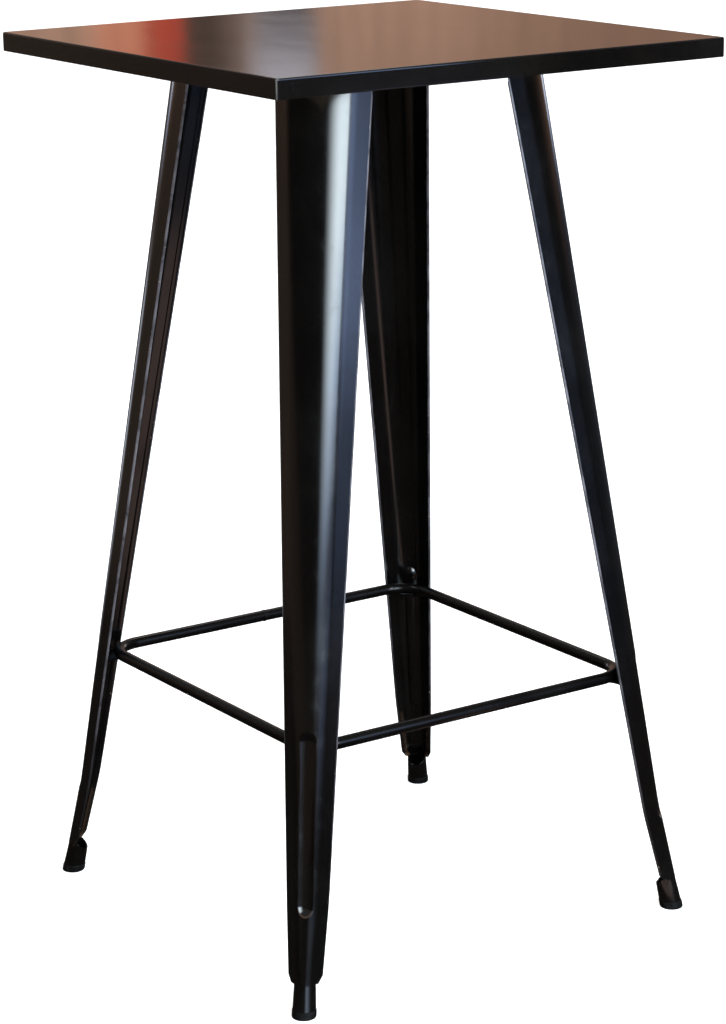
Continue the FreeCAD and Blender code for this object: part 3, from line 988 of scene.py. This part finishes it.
def pale_floor():
    """Diffuse floor, lifted to white for the camera, dim and uneven in reflections."""
    floor = Finish("pale_floor")
    grey, white = (0.80, 0.80, 0.80, 1), (1, 1, 1, 1)
    left_tone, right_tone = (0.145, 0.106, 0.082, 1), (0.060, 0.062, 0.080, 1)
    near_tone, shade_tone = (0.040, 0.032, 0.028, 1), (0.022, 0.020, 0.020, 1)
    warm_tone = (0.72, 0.50, 0.44, 1)
    ray = floor.node("ShaderNodeLightPath", {}, {}, "Is Camera Ray")
    glossy = floor.node("ShaderNodeLightPath", {}, {}, "Is Glossy Ray")

    # how far a spot is from the table, its bearing's sine, and which side it is on
    spot = floor.place()
    away = floor.node("ShaderNodeVectorMath", {"operation": "LENGTH"}, {0: spot}, "Value")
    beside = floor.node("ShaderNodeSeparateXYZ", {}, {"Vector": spot}, "X") / away
    front = floor.node("ShaderNodeSeparateXYZ", {}, {"Vector": spot}, "Y") < 0

    # what the camera sees: a lit, shadowed floor, lifted to white away from the table
    matt = floor.node("ShaderNodeBsdfDiffuse", {}, {"Color": grey})
    lift = floor.node(
        "ShaderNodeEmission", {},
        {"Color": white, "Strength": ray * (0.70 + 0.30 * away.between(1.0, 3.5))})
    lit = floor.node("ShaderNodeAddShader", {}, [matt, lift])

    # what reflections see: dim tones, one warm patch, and light from the windows
    tone = floor.mix(beside.between(-0.2, 0.6), left_tone, right_tone)
    shaded = beside.between(0.58, 0.61) * (1 - beside.between(0.66, 0.74)) * front
    tone = floor.mix(shaded, tone, shade_tone)
    tone = floor.mix(1 - away.between(1.9, 3.0), tone, near_tone)
    warm = beside.between(0.40, 0.45) * (1 - beside.between(0.54, 0.58)) * front
    tone = floor.mix(warm * (1 - away.between(1.9, 2.2)), tone, warm_tone)

    def light_on_floor(tone, side, bearing, width, farthest, colour):
        """Strip of floor, lit by a window behind it, brighter further away."""
        share = (1 - abs(beside - bearing).between(width * 0.8, width * 1.3)) * side
        share = share * away.between(1.0, farthest) * (1 - away.between(7.4, 8.4))
        return floor.mix(share, tone, colour)

    for side, bearing, width, farthest, colour in (
            (front, 0.52, 0.06, 7.5, (0.42, 0.58, 0.98, 1)),
            (front, 0.08, 0.24, 7.5, (0.50, 0.68, 1.25, 1)),
            (1 - front, -0.14, 0.10, 3.5, (1.0, 1.1, 1.3, 1))):
        tone = light_on_floor(tone, side, bearing, width, farthest, colour)
    mirrored = floor.node("ShaderNodeEmission", {}, {"Color": tone, "Strength": 1.0})
    both = floor.node("ShaderNodeMixShader", {}, [glossy, lit, mirrored])
    floor.node("ShaderNodeOutputMaterial", {}, {"Surface": both})
    return floor.owner


room()
floor_mesh = bpy.data.meshes.new("studio_floor")
floor_half = 30.0
floor_mesh.from_pydata(
    [(-floor_half, -floor_half, 0), (floor_half, -floor_half, 0),
     (floor_half, floor_half, 0), (-floor_half, floor_half, 0)], [], [(0, 1, 2, 3)])
floor_mesh.materials.append(pale_floor())
studio_floor = bpy.data.objects.new("studio_floor", floor_mesh)
bpy.context.scene.collection.objects.link(studio_floor)


def towards(turn, rise):
    """Unit direction at a turn from the front, positive to the right, and a rise."""
    return Vector((
        math.sin(turn) * math.cos(rise), -math.cos(turn) * math.cos(rise), math.sin(rise)))


def soft_light(name, azimuth, elevation, distance, size, radiance, colour, fades=None):
    """Area light aimed at the table, at a turn and a rise in degrees."""
    away = towards(math.radians(azimuth), math.radians(elevation))
    target = Vector((0, 0, 0.7))            # inside the table, above its middle
    lamp = bpy.data.lights.new(name, "AREA")
    lamp.shape = "RECTANGLE"
    lamp.size, lamp.size_y = size
    lamp.energy = radiance * math.pi * size[0] * size[1]
    lamp.color = colour
    if fades:
        # soft ends, as fractions of the width and height, and bluer light at the bottom
        left, right, bottom = fades
        bluer, plain = (0.72, 0.90, 1.35, 1), (1, 1, 1, 1)
        glow = Nodes()
        lamp.use_nodes = True
        glow.tree = lamp.node_tree
        glow.tree.nodes.clear()
        spot = glow.node("ShaderNodeNewGeometry", {}, {}, "Parametric")
        across = glow.node("ShaderNodeSeparateXYZ", {}, {"Vector": spot}, "X")
        upward = glow.node("ShaderNodeSeparateXYZ", {}, {"Vector": spot}, "Y")
        risen = upward.between(0.0, bottom)
        share = across.between(0.0, left) * (1 - across.between(1 - right, 1.0)) * risen
        tint = glow.node(
            "ShaderNodeMix", {"data_type": "RGBA"}, {0: risen, 6: bluer, 7: plain}, 2)
        shine = glow.node("ShaderNodeEmission", {}, {"Color": tint, "Strength": share})
        glow.node("ShaderNodeOutputLight", {}, {"Surface": shine})
    holder = bpy.data.objects.new(name, lamp)
    holder.location = target + away * distance
    holder.rotation_euler = (-away).to_track_quat("-Z", "Y").to_euler()
    holder.visible_camera = False
    bpy.context.scene.collection.objects.link(holder)


window_blue = (0.44, 0.60, 1.0)
narrow_ends = (0.02, 0.25, 0.02)
soft_light(
    "window_light", azimuth=-9, elevation=18.7, distance=12.0, size=(12.2, 9.3),
    radiance=16.0, colour=(0.82, 0.94, 1.0), fades=(0.65, 0.05, 0.24))
soft_light(
    "side_light", azimuth=25.8, elevation=13.7, distance=5.0, size=(1.43, 2.6),
    radiance=3.4, colour=window_blue, fades=narrow_ends)
soft_light(
    "low_side_light", azimuth=30.7, elevation=-1.3, distance=12.0, size=(1.8, 0.9),
    radiance=2.2, colour=window_blue, fades=narrow_ends)
soft_light(
    "far_window_light", azimuth=115, elevation=8, distance=12.0, size=(4.0, 5.0),
    radiance=3.0, colour=(0.94, 0.95, 1.0), fades=(0.3, 0.3, 0.2))
soft_light(
    "rear_window_light", azimuth=188, elevation=8, distance=10.0, size=(2.6, 4.0),
    radiance=3.5, colour=(0.86, 0.93, 1.0), fades=(0.4, 0.4, 0.3))
soft_light(
    "ceiling_light", azimuth=0, elevation=90, distance=2.8, size=(3.0, 3.0),
    radiance=0.7, colour=(1.0, 0.98, 0.95))
soft_light(
    "rear_light", azimuth=150, elevation=50, distance=3.4, size=(1.6, 1.6),
    radiance=3.0, colour=(1.0, 0.96, 0.90))
soft_light(
    "left_light", azimuth=-110, elevation=48, distance=3.4, size=(1.4, 1.4),
    radiance=2.0, colour=(1.0, 0.96, 0.92))


# ---------------------------------------------------------------- camera
# A long lens in front of the table, to the left and above the top, that looks down on
# it at 15 degrees.

view_azimuth = math.radians(-34.03)
view_elevation = math.radians(15.29)
view_roll = math.radians(-0.77)
camera_place = Vector((-1.8856, -2.7949, 1.4072))
picture = (726, 1024)                       # the frame's width and height in pixels
focal_pixels = 2905.1
picture_centre = (362.8, 511.3)             # where the lens points in that frame

back = towards(view_azimuth, view_elevation)
right = (-back).cross(Vector((0, 0, 1))).normalized()
up = right.cross(-back)
rolled_right = right * math.cos(view_roll) + up * math.sin(view_roll)
rolled_up = up * math.cos(view_roll) - right * math.sin(view_roll)

camera_data = bpy.data.cameras.new("camera")
camera_data.sensor_fit = "VERTICAL"
camera_data.sensor_height = 36.0
camera_data.lens = focal_pixels / picture[1] * camera_data.sensor_height
camera_data.shift_x = (picture[0] / 2 - picture_centre[0]) / picture[1]
camera_data.shift_y = (picture_centre[1] - picture[1] / 2) / picture[1]
camera_data.clip_end = 100
camera = bpy.data.objects.new("camera", camera_data)
camera.matrix_world = Matrix((
    (rolled_right.x, rolled_up.x, back.x, camera_place.x),
    (rolled_right.y, rolled_up.y, back.y, camera_place.y),
    (rolled_right.z, rolled_up.z, back.z, camera_place.z),
    (0, 0, 0, 1)))
bpy.context.scene.collection.objects.link(camera)
bpy.context.scene.camera = camera
bpy.context.scene.view_settings.view_transform = "Standard"
